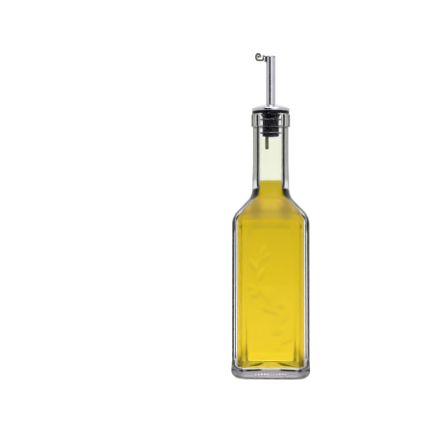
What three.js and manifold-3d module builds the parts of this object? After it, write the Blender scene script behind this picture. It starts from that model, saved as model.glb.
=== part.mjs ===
// Square clear glass oil bottle with its steel pourer, in millimetres, +Z up.
// The origin is the middle of the base, on the surface that the bottle stands on, and the front faces -Y.
// The bottle holds oil up to the neck. A ribbed black stopper sits in the bore and carries a domed steel cap,
// an upright steel pour tube with a thin air tube in it, and a hinged flap that shuts the side outlet.

import * as THREE from "three";
import { mergeVertices } from "three/addons/utils/BufferGeometryUtils.js";
import Module from "manifold-3d";

const wasm = await Module();
wasm.setup();

// Driving dimensions of the glass. A half is half the width across two opposite flat sides.
const bodyHalfTop = 32.9;
const bodyHalfBottom = 33.2;
const heelHalf = 33.7;
const heelHeight = 9;
const heelRadius = 8;
const heelBlendTop = 17;
const bearingHalf = 21;
const puntHeight = 2.2;
const cornerShare = 0.27;
const innerCornerShare = 0.2;
const shoulderBase = 138;
const shoulderRadius = 18;
const neckBase = 156.1;
const neckBaseRadius = 14;
const neckBaseHalf = 16.2;
const neckSwellTop = 184.3;
const neckHalf = 15.5;
const finishBase = 215.4;
const finishHalf = 16.95;
const finishRadius = 1.3;
const glassHeight = 226.7;
const boreRadius = 10.1;
const mouthRadius = 0.8;
const wall = 4.2;
const floorHeight = 8.6;
const floorDome = 1.3;
const innerHeelRadius = 3.5;
const innerShoulderBase = 136.4;
const innerNeckBase = 160.5;
const innerNeckBend = 24;
const innerBendRadius = 12;

// Driving dimensions of the side panels and of the sprig in relief on the front one.
const panelHalfWidth = 21;
const panelBottom = 14;
const panelTop = 129.9;
const panelTopRadius = 11;
const panelBottomRadius = 5;
const panelPlane = 32.4;
const reliefHeight = 0.45;
const reliefRoot = 0.4;

// Driving dimensions of the oil.
const oilLevel = 168.8;
const oilGap = 0.3;

// Driving dimensions of the stopper and its steel cap.
const stopperBottom = 207.1;
const stopperCoreRadius = 7.15;
const stopperCavityRadius = 5;
const stopperCavityTop = 212;
const finRadius = 9.85;
const finHeights = [210.1, 215.9, 221.7];
const finTipHalf = 0.45;
const finRootHalf = 0.8;
const flareBase = 223.5;
const flareRadius = 9.6;
const flangeRadius = 16.1;
const flangeBottom = 226.8;
const flangeTop = 229;
const capRadius = 16.6;
const capBottom = 229.2;
const capCrown = 235.4;
const capEdge = 231.5;
const capRimTop = 230.8;
const capSheet = 0.8;
const stopperChamfer = 0.5;
const flareBend = 0.8;
const flareBendHeight = 225.1;
const pieceGap = 0.15;

// Driving dimensions of the pour tube, its end plate, the outlet and the air tube.
const tubeRadius = 4.13;
const tubeWall = 0.45;
const tubeTop = 276.05;
const endPlateBottom = 276.15;
const endPlateTop = 277.15;
const endPlateChamfer = 0.25;
const lugRoot = -1;
const outletHeight = 274.55;
const outletBore = 1.2;
const outletBoreEnd = -1;
const sealRadius = 2.5;
const sealFace = -4.9;
const sealRoot = -2;
const airTubeUpperX = -2;
const airTubeLowerX = -3.25;
const airTubeBendTop = 211.9;
const airTubeBendBottom = 208.8;
const airTubeRadius = 1.5;
const airTubeBore = 1.15;
const airTubeBottom = 196.2;
const airTubeTop = 260;

// Driving dimensions of the hinge and the flap.
const hinge = new THREE.Vector2(-6.05, 276.95);
const pinRadius = 0.4;
const pinHoleRadius = 0.6;
const knuckleRadius = 1;
const lugHalfWidth = 0.85;
const knuckleInner = 1.05;
const knuckleOuter = 2.1;
const pinHeadRadius = 0.7;
const pinHeadInner = 2.25;
const pinHeadOuter = 2.6;
const flapRadius = 2.6;
const flapFace = -5.05;
const flapThickness = 0.85;
const notchBottom = 275.8;
const strapHalfWidth = 1.9;
const strapThickness = 1;
const strapX = -6.2;
const strapTop = 276.55;
const strapBend = 0.9;
const curlCentre = new THREE.Vector2(-10.86, 276.4);
const curlHalfWidth = 2.2;
const curlHalfHeight = 3;
const curlSweep = 275;
const rollerCentre = new THREE.Vector2(-10.86, 276.55);
const rollerRadius = 1.45;
const rollerHalfLength = 2.15;

const sliverSize = 0.02;
const cutterReach = 1;
const degrees = Math.PI / 180;
const clamp01 = (t) => Math.min(1, Math.max(0, t));

const materials = {
  glass: new THREE.MeshStandardMaterial({
    color: 0xe8f0e6,
    roughness: 0.04,
    metalness: 0,
    transparent: true,
    opacity: 0.35,
  }),
  oil: new THREE.MeshStandardMaterial({ color: 0xdcc026, roughness: 0.1, metalness: 0 }),
  stopper: new THREE.MeshStandardMaterial({ color: 0x15151b, roughness: 0.4, metalness: 0 }),
  steel: new THREE.MeshStandardMaterial({ color: 0xc9c9cf, roughness: 0.18, metalness: 1 }),
};

// Columns of the lofted pieces, in degrees round the axis: closest together at the four corners.
const quadrantAngles = [0, 12, 24, 32, 36, 39, 42, 45, 48, 51, 54, 58, 66, 78];
const columnAngles = [0, 90, 180, 270].flatMap((turn) => quadrantAngles.map((a) => a + turn));

// Distance from the axis to a rounded square of that half and corner radius, in the direction of an angle.
function squareReach(half, corner, angle) {
  const cosine = Math.abs(Math.cos(angle * degrees));
  const sine = Math.abs(Math.sin(angle * degrees));
  const along = Math.max(cosine, sine);
  const across = Math.min(cosine, sine);
  const flat = half - corner;
  if (half * across <= flat * along) return half / along;
  const middle = flat * (along + across);
  return middle + Math.sqrt(middle * middle - 2 * flat * flat + corner * corner);
}

// A closed solid through rings of {half, z, share}, where share is the corner radius as a share of the half.
// A ring with half 0 is a single point on the axis, so the list starts and ends with one. Each face of four
// is split along its shorter diagonal, which keeps nested pieces an even gap apart.
function loft(rings) {
  const positions = [];
  const starts = rings.map((ring) => {
    const start = positions.length / 3;
    if (ring.half === 0) positions.push(0, 0, ring.z);
    else
      columnAngles.forEach((angle) => {
        const reach = squareReach(ring.half, ring.half * ring.share, angle);
        positions.push(
          reach * Math.cos(angle * degrees),
          reach * Math.sin(angle * degrees),
          ring.z,
        );
      });
    return start;
  });
  const columns = columnAngles.length;
  const faces = [];
  const span = (a, b) =>
    Math.hypot(...[0, 1, 2].map((axis) => positions[3 * a + axis] - positions[3 * b + axis]));
  rings.slice(1).forEach((ring, i) => {
    const low = starts[i];
    const high = starts[i + 1];
    for (let k = 0; k < columns; k++) {
      const next = (k + 1) % columns;
      const [a, b, c, d] = [low + k, low + next, high + next, high + k];
      if (rings[i].half === 0) faces.push(low, c, d);
      else if (ring.half === 0) faces.push(a, b, high);
      else if (span(a, c) < span(b, d)) faces.push(a, b, c, a, c, d);
      else faces.push(a, b, d, b, c, d);
    }
  });
  return new THREE.BufferGeometry()
    .setAttribute("position", new THREE.Float32BufferAttribute(positions, 3))
    .setIndex(faces);
}

// The points of a path through corners of [half, z, fillet radius], with each fillet as an arc.
function rounded(corners, arcStep = 14) {
  const points = [];
  corners.forEach(([x, z, fillet], i) => {
    const corner = new THREE.Vector2(x, z);
    if (!fillet) {
      points.push(corner);
      return;
    }
    const back = new THREE.Vector2(...corners[i - 1].slice(0, 2)).sub(corner).normalize();
    const ahead = new THREE.Vector2(...corners[i + 1].slice(0, 2)).sub(corner).normalize();
    const between = Math.acos(back.dot(ahead));
    const tangent = fillet / Math.tan(between / 2);
    const middle = back
      .clone()
      .add(ahead)
      .normalize()
      .multiplyScalar(fillet / Math.sin(between / 2))
      .add(corner);
    const from = back.clone().multiplyScalar(tangent).add(corner).sub(middle);
    const to = ahead.clone().multiplyScalar(tangent).add(corner).sub(middle);
    const turn = Math.atan2(from.cross(to), from.dot(to));
    const steps = Math.max(2, Math.round(Math.abs(turn) / (arcStep * degrees)));
    for (let k = 0; k <= steps; k++)
      points.push(from.clone().rotateAround(new THREE.Vector2(), (turn * k) / steps).add(middle));
  });
  return points;
}

// Corner share of a ring: that of the body low down, growing to a full circle at the neck.
function shareAt(half, z, bodyShare, bodyHalf, throatHalf) {
  if (z < shoulderBase - shoulderRadius) return bodyShare;
  const t = clamp01((bodyHalf - half) / (bodyHalf - throatHalf));
  return bodyShare + (1 - bodyShare) * t;
}

const outerPath = rounded([
  [bearingHalf, 0],
  [heelHalf, 0, heelRadius],
  [heelHalf, heelHeight],
  [bodyHalfBottom, heelBlendTop],
  [bodyHalfTop, shoulderBase, shoulderRadius],
  [neckBaseHalf, neckBase, neckBaseRadius],
  [neckBaseHalf - 0.1, oilLevel],
  [neckHalf, neckSwellTop],
  [neckHalf, finishBase],
  [finishHalf, finishBase, finishRadius / 2],
  [finishHalf, glassHeight, finishRadius],
  [boreRadius + mouthRadius, glassHeight],
]);

const innerHalfTop = bodyHalfTop - wall;
const innerHalfBottom = bodyHalfBottom - wall;
const innerPath = rounded([
  [boreRadius + mouthRadius, glassHeight],
  [boreRadius, glassHeight - mouthRadius],
  [boreRadius, innerNeckBase, innerNeckBend],
  [innerHalfTop, innerShoulderBase, innerBendRadius],
  [innerHalfBottom, floorHeight, innerHeelRadius],
  [innerHalfBottom - 2 * innerHeelRadius, floorHeight],
]);

const outerRing = (p) => ({
  half: p.x,
  z: p.y,
  share: shareAt(p.x, p.y, cornerShare, bodyHalfTop, neckBaseHalf),
});
const innerRing = (p) => ({
  half: p.x,
  z: p.y,
  share: shareAt(p.x, p.y, innerCornerShare, innerHalfTop, boreRadius),
});

// Rings of a shallow dome that rises from a rounded square towards the axis.
const domeStations = [0, 0.4, 0.75];
function domeRings(edgeHalf, edgeZ, rise, share) {
  return domeStations.map((t) => ({
    half: edgeHalf * t,
    z: edgeZ + rise * (1 - t * t),
    share,
  }));
}

function solidOf(geometry) {
  const bare = geometry.clone();
  bare.deleteAttribute("normal");
  bare.deleteAttribute("uv");
  const merged = mergeVertices(bare, 1e-4);
  return new wasm.Manifold(
    new wasm.Mesh({
      numProp: 3,
      vertProperties: merged.attributes.position.array,
      triVerts: new Uint32Array(merged.index.array),
    }),
  );
}

// The triangles of a solid, without the slivers that booleans leave.
function geometryOf(solid) {
  const mesh = solid.asOriginal().simplify(sliverSize).getMesh();
  const geometry = new THREE.BufferGeometry()
    .setAttribute("position", new THREE.BufferAttribute(mesh.vertProperties, 3))
    .setIndex(new THREE.BufferAttribute(mesh.triVerts, 1));
  geometry.computeVertexNormals();
  return geometry;
}

// A flat outline of [x, z] points, swept from y to y + depth.
function slab(points, y, depth) {
  const shape = new THREE.Shape(points.map(([x, z]) => new THREE.Vector2(x, z)));
  return new THREE.ExtrudeGeometry(shape, { depth, bevelEnabled: false, steps: 1 })
    .rotateX(Math.PI / 2)
    .translate(0, y + depth, 0);
}

// A cylinder along Y or X between two stations, centred on two coordinates of the other axes.
const rodY = (radius, from, to, x, z, sides = 20) =>
  new THREE.CylinderGeometry(radius, radius, to - from, sides).translate(x, (from + to) / 2, z);
const rodX = (radius, from, to, z, sides = 24) =>
  new THREE.CylinderGeometry(radius, radius, to - from, sides)
    .rotateZ(Math.PI / 2)
    .translate((from + to) / 2, 0, z);

// A lathe round the Z axis from [radius, z] points that close on themselves.
const lathe = (points, sides) =>
  new THREE.LatheGeometry(
    [...points, points[0]].map(([r, z]) => new THREE.Vector2(r, z)),
    sides,
  ).rotateX(Math.PI / 2);

// Outline of a side panel: a tall rectangle with large round corners at the top.
function panelOutline() {
  return rounded(
    [
      [0, panelBottom],
      [panelHalfWidth, panelBottom, panelBottomRadius],
      [panelHalfWidth, panelTop, panelTopRadius],
      [-panelHalfWidth, panelTop, panelTopRadius],
      [-panelHalfWidth, panelBottom, panelBottomRadius],
      [0, panelBottom],
    ],
    18,
  )
    .slice(0, -1)
    .map((p) => [p.x, p.y]);
}

// The sprig on the front panel: a bending stem, pairs of pointed leaves and three round fruits.
const stemFoot = new THREE.Vector2(7, 26);
const stemTip = new THREE.Vector2(-8, 104);
const stemBend = 7;
const stemHalfWidth = 0.55;
const leafCount = 9;
const firstLeaf = 0.6;
const leafLength = 17;
const leafShrink = 0.3;
const leafHalfWidth = 2.5;
const leafTaper = 0.8;
const leafLean = 38;
const tipLeafStation = 0.98;
const fruitStations = [0.2, 0.44, 0.64];
const fruitRadius = 3.6;
const fruitReach = 6.4;

// A point of the stem's centre line, and the line's direction there in degrees.
function stemAt(t) {
  const sway = stemBend * Math.sin(2 * Math.PI * t);
  const point = stemFoot.clone().lerp(stemTip, t);
  point.x += sway;
  const slope = stemTip.clone().sub(stemFoot);
  slope.x += stemBend * 2 * Math.PI * Math.cos(2 * Math.PI * t);
  return { point, heading: slope.angle() / degrees };
}

function leafOutline(root, heading, length) {
  const along = new THREE.Vector2(Math.cos(heading * degrees), Math.sin(heading * degrees));
  const across = new THREE.Vector2(-along.y, along.x);
  const stations = [0, 0.12, 0.3, 0.5, 0.7, 0.88, 1];
  const swell = (t) => leafHalfWidth * Math.sin(Math.PI * Math.pow(t, leafTaper));
  const side = (sign, list) =>
    list.map((t) =>
      root
        .clone()
        .addScaledVector(along, length * t)
        .addScaledVector(across, sign * swell(t))
        .toArray(),
    );
  return [...side(-1, stations), ...side(1, stations.slice(1, -1).reverse())];
}

function sprigSolids() {
  const front = -panelPlane - reliefHeight;
  const depth = reliefHeight + reliefRoot;
  const stemSteps = 12;
  const stemSide = (sign) =>
    Array.from({ length: stemSteps + 1 }, (_, i) => {
      const { point, heading } = stemAt(i / stemSteps);
      const across = (heading + 90 * sign) * degrees;
      return [
        point.x + stemHalfWidth * Math.cos(across),
        point.y + stemHalfWidth * Math.sin(across),
      ];
    });
  const outlines = [[...stemSide(-1), ...stemSide(1).reverse()]];
  for (let i = 0; i < leafCount; i++) {
    const t = (i + firstLeaf) / leafCount;
    const side = i % 2 ? 1 : -1;
    const { point, heading } = stemAt(t);
    const length = leafLength * (1 - leafShrink * t);
    outlines.push(leafOutline(point, heading + side * leafLean, length));
  }
  const { point, heading } = stemAt(tipLeafStation);
  outlines.push(leafOutline(point, heading, leafLength * (1 - leafShrink)));
  const fruits = fruitStations.map((t, i) => {
    const side = i % 2 ? -1 : 1;
    const stem = stemAt(t);
    const across = (stem.heading + 90 * side) * degrees;
    return rodY(
      fruitRadius,
      front,
      front + depth,
      stem.point.x + fruitReach * Math.cos(across),
      stem.point.y + fruitReach * Math.sin(across),
      18,
    );
  });
  return [...outlines.map((outline) => slab(outline, front, depth)), ...fruits].map(solidOf);
}

function bottle() {
  const rings = [
    ...domeRings(bearingHalf, 0, puntHeight, cornerShare),
    ...outerPath.map(outerRing),
    ...innerPath.slice(1).map(innerRing),
    ...domeRings(innerPath.at(-1).x, floorHeight, floorDome, innerCornerShare).reverse(),
  ];
  let solid = solidOf(loft(rings));
  const panelDepth = bodyHalfBottom + cutterReach - panelPlane;
  const panel = slab(panelOutline(), -panelPlane - panelDepth, panelDepth);
  for (const turn of [0, 90, 180, 270])
    solid = solid.subtract(solidOf(panel.clone().rotateZ(turn * degrees)));
  for (const piece of sprigSolids()) solid = solid.add(piece);
  return geometryOf(solid);
}

// The oil fills the inside up to its level, a small gap in from the glass.
function oil() {
  const inside = innerPath.slice(2).filter((p) => p.y < oilLevel);
  const throat = { half: boreRadius - oilGap, share: 1 };
  const wet = inside.map((p) => innerRing(p)).map((r) => ({ ...r, half: r.half - oilGap }));
  const bottomRing = wet.at(-1);
  const rings = [
    ...domeRings(bottomRing.half, floorHeight, floorDome, innerCornerShare).map((r) => ({
      ...r,
      z: r.z + oilGap,
    })),
    ...wet.reverse().map((r) => ({ ...r, z: r.z < floorHeight + oilGap ? r.z + oilGap : r.z })),
    { ...throat, z: oilLevel },
    { half: 0, z: oilLevel, share: 1 },
  ];
  return loft(rings);
}

// Height of the cap's dome at a radius, for the outer face or for one below it.
const domeHeight = (radius, crown) => crown - (capCrown - capEdge) * (radius / capRadius) ** 2;

function stopper() {
  const bore = tubeRadius + pieceGap;
  const fins = finHeights.flatMap((z) => [
    [stopperCoreRadius, z - finRootHalf],
    [finRadius, z - finTipHalf],
    [finRadius, z + finTipHalf],
    [stopperCoreRadius, z + finRootHalf],
  ]);
  const headRadius = capRadius - capSheet - pieceGap;
  const head = [1, 0.75, 0.5, bore / headRadius].map((t) => [
    headRadius * t,
    domeHeight(headRadius * t, capCrown - capSheet - pieceGap),
  ]);
  return lathe(
    [
      [bore, stopperCavityTop],
      [stopperCavityRadius, stopperCavityTop],
      [stopperCavityRadius, stopperBottom],
      [stopperCoreRadius - stopperChamfer, stopperBottom],
      [stopperCoreRadius, stopperBottom + stopperChamfer],
      ...fins,
      [stopperCoreRadius, flareBase],
      [stopperCoreRadius + flareBend, flareBendHeight],
      [flareRadius, flangeBottom],
      [flangeRadius, flangeBottom],
      [flangeRadius, flangeTop],
      [headRadius, flangeTop],
      ...head,
    ],
    36,
  );
}

function cap() {
  const bore = tubeRadius + pieceGap;
  const stations = [bore / capRadius, 0.45, 0.68, 0.85, 0.96];
  const outside = stations.map((t) => [capRadius * t, domeHeight(capRadius * t, capCrown)]);
  const inner = capRadius - capSheet;
  const inside = [0.9, 0.6, bore / inner].map((t) => [
    inner * t,
    domeHeight(inner * t, capCrown - capSheet),
  ]);
  return lathe(
    [
      ...inside.reverse(),
      [inner, domeHeight(inner, capCrown - capSheet)],
      [inner, capBottom],
      [capRadius, capBottom],
      [capRadius, capRimTop],
      ...outside.reverse(),
    ],
    48,
  );
}

function pourTube() {
  const bore = tubeRadius - tubeWall;
  const tube = solidOf(
    lathe(
      [
        [bore, stopperCavityTop],
        [tubeRadius, stopperCavityTop],
        [tubeRadius, tubeTop],
        [bore, tubeTop],
      ],
      32,
    ),
  );
  const outlet = rodX(outletBore, -tubeRadius - cutterReach, outletBoreEnd, outletHeight);
  return geometryOf(tube.subtract(solidOf(outlet)));
}

// The plate that shuts the top of the tube, with a lug over the outlet for the hinge pin.
function endPlate() {
  const disc = new THREE.CylinderGeometry(
    tubeRadius - endPlateChamfer,
    tubeRadius,
    endPlateTop - endPlateBottom,
    32,
  )
    .rotateX(Math.PI / 2)
    .translate(0, 0, (endPlateBottom + endPlateTop) / 2);
  const lug = slab(
    [
      [hinge.x, endPlateBottom],
      [lugRoot, endPlateBottom],
      [lugRoot, endPlateTop],
      [hinge.x, endPlateTop],
    ],
    -lugHalfWidth,
    2 * lugHalfWidth,
  );
  const eye = rodY(knuckleRadius, -lugHalfWidth, lugHalfWidth, hinge.x, hinge.y);
  const holeEnd = lugHalfWidth + cutterReach;
  const hole = rodY(pinHoleRadius, -holeEnd, holeEnd, hinge.x, hinge.y);
  return geometryOf(
    solidOf(disc).add(solidOf(lug)).add(solidOf(eye)).subtract(solidOf(hole)),
  );
}

// The black seat round the outlet, shaped to the tube on one side and flat where the flap shuts on it.
function outletSeal() {
  const ring = solidOf(rodX(sealRadius, sealFace, sealRoot, outletHeight)).subtract(
    solidOf(rodX(outletBore, sealFace - cutterReach, sealRoot + cutterReach, outletHeight)),
  );
  const tubeSpace = new THREE.CylinderGeometry(
    tubeRadius + pieceGap,
    tubeRadius + pieceGap,
    2 * sealRadius + 2 * cutterReach,
    32,
  )
    .rotateX(Math.PI / 2)
    .translate(0, 0, outletHeight);
  const lugSpace = new THREE.BoxGeometry(
    Math.abs(sealFace) + cutterReach,
    2 * (lugHalfWidth + pieceGap),
    2 * cutterReach,
  ).translate((sealFace - cutterReach) / 2, 0, endPlateBottom - pieceGap + cutterReach);
  return geometryOf(ring.subtract(solidOf(tubeSpace)).subtract(solidOf(lugSpace)));
}

function hingePin() {
  const shaft = rodY(pinRadius, -pinHeadOuter, pinHeadOuter, hinge.x, hinge.y, 16);
  const heads = [-1, 1].map((side) =>
    rodY(
      pinHeadRadius,
      Math.min(side * pinHeadInner, side * pinHeadOuter),
      Math.max(side * pinHeadInner, side * pinHeadOuter),
      hinge.x,
      hinge.y,
    ),
  );
  return geometryOf(heads.reduce((solid, head) => solid.add(solidOf(head)), solidOf(shaft)));
}

// The strap's centre line: down the outside of the flap, left along the bottom, and up and round the roller.
function strapPath() {
  const strapHeight = curlCentre.y - curlHalfHeight;
  const line = rounded(
    [
      [strapX, strapTop],
      [strapX, strapHeight, strapBend],
      [curlCentre.x, strapHeight],
    ],
    22.5,
  );
  const steps = 18;
  for (let i = 1; i <= steps; i++) {
    const angle = (-90 - (curlSweep * i) / steps) * degrees;
    line.push(
      new THREE.Vector2(curlHalfWidth * Math.cos(angle), curlHalfHeight * Math.sin(angle)).add(
        curlCentre,
      ),
    );
  }
  return line;
}

function flap() {
  const line = strapPath();
  const edge = (sign) =>
    line.map((p, i) => {
      const before = line[Math.max(0, i - 1)];
      const after = line[Math.min(line.length - 1, i + 1)];
      const along = after.clone().sub(before).normalize();
      return [
        p.x - (sign * along.y * strapThickness) / 2,
        p.y + (sign * along.x * strapThickness) / 2,
      ];
    });
  const strap = slab([...edge(1), ...edge(-1).reverse()], -strapHalfWidth, 2 * strapHalfWidth);
  const disc = rodX(flapRadius, flapFace - flapThickness, flapFace, outletHeight, 28);
  const notch = slab(
    [
      [hinge.x - cutterReach, notchBottom],
      [flapFace + cutterReach, notchBottom],
      [flapFace + cutterReach, hinge.y + cutterReach],
      [hinge.x - cutterReach, hinge.y + cutterReach],
    ],
    -knuckleInner,
    2 * knuckleInner,
  );
  let solid = solidOf(disc).add(solidOf(strap)).subtract(solidOf(notch));
  for (const side of [-1, 1]) {
    const from = Math.min(side * knuckleInner, side * knuckleOuter);
    solid = solid.add(
      solidOf(rodY(knuckleRadius, from, from + knuckleOuter - knuckleInner, hinge.x, hinge.y)),
    );
  }
  const holeEnd = knuckleOuter + cutterReach;
  const hole = rodY(pinHoleRadius, -holeEnd, holeEnd, hinge.x, hinge.y);
  return geometryOf(solid.subtract(solidOf(hole)));
}

// A thin tube that stands in the pour tube, and is set over to the left in the stopper's hollow.
function airTube() {
  const heights = [airTubeBottom, airTubeBendBottom, airTubeBendTop, airTubeTop];
  const tube = lathe(
    [
      ...heights.map((z) => [airTubeRadius, z]),
      ...heights.toReversed().map((z) => [airTubeBore, z]),
    ],
    16,
  );
  const positions = tube.attributes.position;
  const offset = airTubeUpperX - airTubeLowerX;
  for (let i = 0; i < positions.count; i++) {
    const rise = clamp01(
      (positions.getZ(i) - airTubeBendBottom) / (airTubeBendTop - airTubeBendBottom),
    );
    positions.setX(i, positions.getX(i) + airTubeLowerX + offset * rise);
  }
  return tube;
}

const roller = () =>
  rodY(rollerRadius, -rollerHalfLength, rollerHalfLength, rollerCentre.x, rollerCentre.y, 24);

const part = new THREE.Group();
for (const [name, geometry, material] of [
  ["glass_bottle", bottle(), materials.glass],
  ["oil_fill", oil(), materials.oil],
  ["stopper", stopper(), materials.stopper],
  ["cap_dome", cap(), materials.steel],
  ["pour_tube", pourTube(), materials.steel],
  ["tube_end_plate", endPlate(), materials.steel],
  ["outlet_seal", outletSeal(), materials.stopper],
  ["air_tube", airTube(), materials.steel],
  ["hinge_pin", hingePin(), materials.steel],
  ["flap", flap(), materials.steel],
  ["flap_roller", roller(), materials.steel],
]) {
  const mesh = new THREE.Mesh(geometry, material);
  mesh.name = name;
  part.add(mesh);
}

export default part;
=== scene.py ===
import math

import bpy
import numpy as np
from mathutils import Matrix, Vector


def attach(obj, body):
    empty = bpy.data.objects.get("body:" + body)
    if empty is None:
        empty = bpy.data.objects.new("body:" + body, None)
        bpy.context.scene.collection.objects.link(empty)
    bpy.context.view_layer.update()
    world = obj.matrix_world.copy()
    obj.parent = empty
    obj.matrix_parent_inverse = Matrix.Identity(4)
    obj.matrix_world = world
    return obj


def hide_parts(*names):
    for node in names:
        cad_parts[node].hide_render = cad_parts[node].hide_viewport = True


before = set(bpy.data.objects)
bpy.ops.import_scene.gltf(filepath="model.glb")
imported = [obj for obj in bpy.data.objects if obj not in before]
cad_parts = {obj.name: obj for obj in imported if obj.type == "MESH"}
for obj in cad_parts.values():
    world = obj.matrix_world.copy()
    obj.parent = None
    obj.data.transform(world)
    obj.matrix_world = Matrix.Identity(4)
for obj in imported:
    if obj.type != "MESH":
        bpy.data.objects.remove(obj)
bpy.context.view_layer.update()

# Camera.
# The photograph is taken from straight in front, level with the middle of the bottle and about a metre
# away, with the bottle to the right of the middle of the frame.
MM = 0.001
FRAME_PX = 430
AXIS_PX = 270.7
EYE_PX = 215
PX_PER_MM = 1.1504
CAMERA_DISTANCE = 990 * MM
EYE_HEIGHT = 139.25 * MM

camera_data = bpy.data.cameras.new("camera")
camera_data.sensor_width = 36
focal_px = CAMERA_DISTANCE / MM * PX_PER_MM
camera_data.lens = camera_data.sensor_width * focal_px / FRAME_PX
camera = bpy.data.objects.new("camera", camera_data)
bpy.context.scene.collection.objects.link(camera)
camera.location = (0, -CAMERA_DISTANCE, EYE_HEIGHT)
turn_left = math.atan((AXIS_PX - FRAME_PX / 2) / focal_px)
look_down = math.atan((FRAME_PX / 2 - EYE_PX) / focal_px)
camera.rotation_euler = (math.pi / 2 - look_down, 0, turn_left)
bpy.context.scene.camera = camera

# Glass bottle, the shape of the glass.
# A pressed and blown bottle of clear glass. The body is square with rounded corners and the neck is round,
# so each ring of the skin goes from a rounded square to a circle. The outer skin runs up to the mouth and
# the inner skin runs down from it to the floor.
BODY_HALF_TOP = 32.9
BODY_HALF_BOTTOM = 33.2
HEEL_HALF = 33.7
HEEL_HEIGHT = 9
HEEL_RADIUS = 8
HEEL_BLEND_TOP = 17
BEARING_HALF = 21
PUNT_HEIGHT = 2.2
CORNER_SHARE = 0.27
INNER_CORNER_SHARE = 0.2
SHOULDER_BASE = 138
SHOULDER_RADIUS = 18
NECK_BASE = 156.1
NECK_BASE_RADIUS = 14
NECK_BASE_HALF = 16.2
NECK_SWELL_TOP = 184.3
NECK_HALF = 15.5
FINISH_BASE = 215.4
FINISH_HALF = 16.95
FINISH_RADIUS = 1.3
GLASS_HEIGHT = 226.7
BORE_RADIUS = 10.1
MOUTH_RADIUS = 0.8
WALL = 4.2
FLOOR_HEIGHT = 8.6
FLOOR_DOME = 0.8
INNER_HEEL_RADIUS = 3.5
INNER_SHOULDER_BASE = 136.4
INNER_NECK_BASE = 160.5
INNER_NECK_BEND = 24
INNER_BEND_RADIUS = 12
INNER_HALF_TOP = BODY_HALF_TOP - WALL
INNER_HALF_BOTTOM = BODY_HALF_BOTTOM - WALL
OIL_LEVEL = 168.8
MOUTH_LEAD = 1.6
NECK_TAPER = 0.1
OUTER_ARC_STEP = 4
INNER_ARC_STEP = 5
INNER_ROW_STEP = 6
SHARP_EDGE = 40


def path(corners, arc_step=7):
    """The points of a path through corners of (half, z) or (half, z, fillet radius)."""
    points = []
    for i, corner in enumerate(corners):
        at = Vector(corner[:2])
        if len(corner) < 3:
            points.append(at)
            continue
        back = (Vector(corners[i - 1][:2]) - at).normalized()
        ahead = (Vector(corners[i + 1][:2]) - at).normalized()
        between = back.angle(ahead)
        tangent = corner[2] / math.tan(between / 2)
        middle = at + (back + ahead).normalized() * corner[2] / math.sin(between / 2)
        start = at + back * tangent - middle
        end = at + ahead * tangent - middle
        sweep = math.atan2(start.x * end.y - start.y * end.x, start.dot(end))
        steps = max(2, round(abs(math.degrees(sweep)) / arc_step))
        for k in range(steps + 1):
            a = sweep * k / steps
            points.append(
                middle
                + Vector(
                    (
                        start.x * math.cos(a) - start.y * math.sin(a),
                        start.x * math.sin(a) + start.y * math.cos(a),
                    )
                )
            )
    return points


def divided(points, step_at):
    """The same path with its long straight stretches cut into steps of the length that step_at(z) gives."""
    out = [points[0]]
    for a, b in zip(points, points[1:]):
        length = (b - a).length
        done = 0
        while True:
            done += step_at(a.y + (b.y - a.y) * done / length)
            if done >= length * 0.999:
                break
            out.append(a.lerp(b, done / length))
        out.append(b)
    return out


def square_reach(half, corner, angles):
    """Distance from the axis to a rounded square, in each direction."""
    cosine, sine = np.abs(np.cos(angles)), np.abs(np.sin(angles))
    along, across = np.maximum(cosine, sine), np.minimum(cosine, sine)
    flat = half - corner
    middle = flat * (along + across)
    bend = middle + np.sqrt(np.maximum(middle**2 - 2 * flat**2 + corner**2, 0))
    return np.where(half * across <= flat * along, half / along, bend)


def corner_share(half, z, body_share, body_half, throat_half):
    """Corner radius as a share of the half: the body's low down, growing to a full circle at the neck."""
    if z < SHOULDER_BASE - SHOULDER_RADIUS:
        return body_share
    t = min(1, max(0, (body_half - half) / (body_half - throat_half)))
    return body_share + (1 - body_share) * t


def ring(half, z, share, angles):
    """One ring of points of a lofted skin."""
    reach = square_reach(half, half * share, angles)
    return np.stack(
        [reach * np.cos(angles), reach * np.sin(angles), np.full(len(angles), z)], 1
    )


def dome_ring_sizes(half, z, rise, count=8):
    """(half, z) of the rings of a shallow dome, from close to the axis out to its edge."""
    return [
        (half * k / count, z + rise * (1 - (k / count) ** 2)) for k in range(1, count)
    ]


def closed_skin(name, rings, first_pole, last_pole):
    """A mesh through rings of points, closed at both ends by a point on the axis."""
    columns = len(rings[0])
    points = np.concatenate(
        [
            np.array([[0, 0, first_pole]]),
            np.concatenate(rings),
            np.array([[0, 0, last_pole]]),
        ]
    )
    last = len(points) - 1
    k = np.arange(columns)
    after = (k + 1) % columns
    faces = [(0, int(1 + b), int(1 + a)) for a, b in zip(k, after)]
    for i in range(len(rings) - 1):
        low, high = 1 + i * columns, 1 + (i + 1) * columns
        faces.extend(
            np.stack([low + k, low + after, high + after, high + k], 1).tolist()
        )
    low = 1 + (len(rings) - 1) * columns
    faces.extend((int(low + a), int(low + b), last) for a, b in zip(k, after))
    return solid(name, points * MM, faces)


def solid(name, points, faces):
    """A smooth-shaded mesh object at the origin."""
    mesh = bpy.data.meshes.new(name)
    mesh.from_pydata(np.asarray(points).tolist(), [], faces)
    mesh.validate()
    mesh.shade_smooth()
    mesh.set_sharp_from_angle(angle=math.radians(SHARP_EDGE))
    made = bpy.data.objects.new(name, mesh)
    bpy.context.scene.collection.objects.link(made)
    return made


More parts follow.
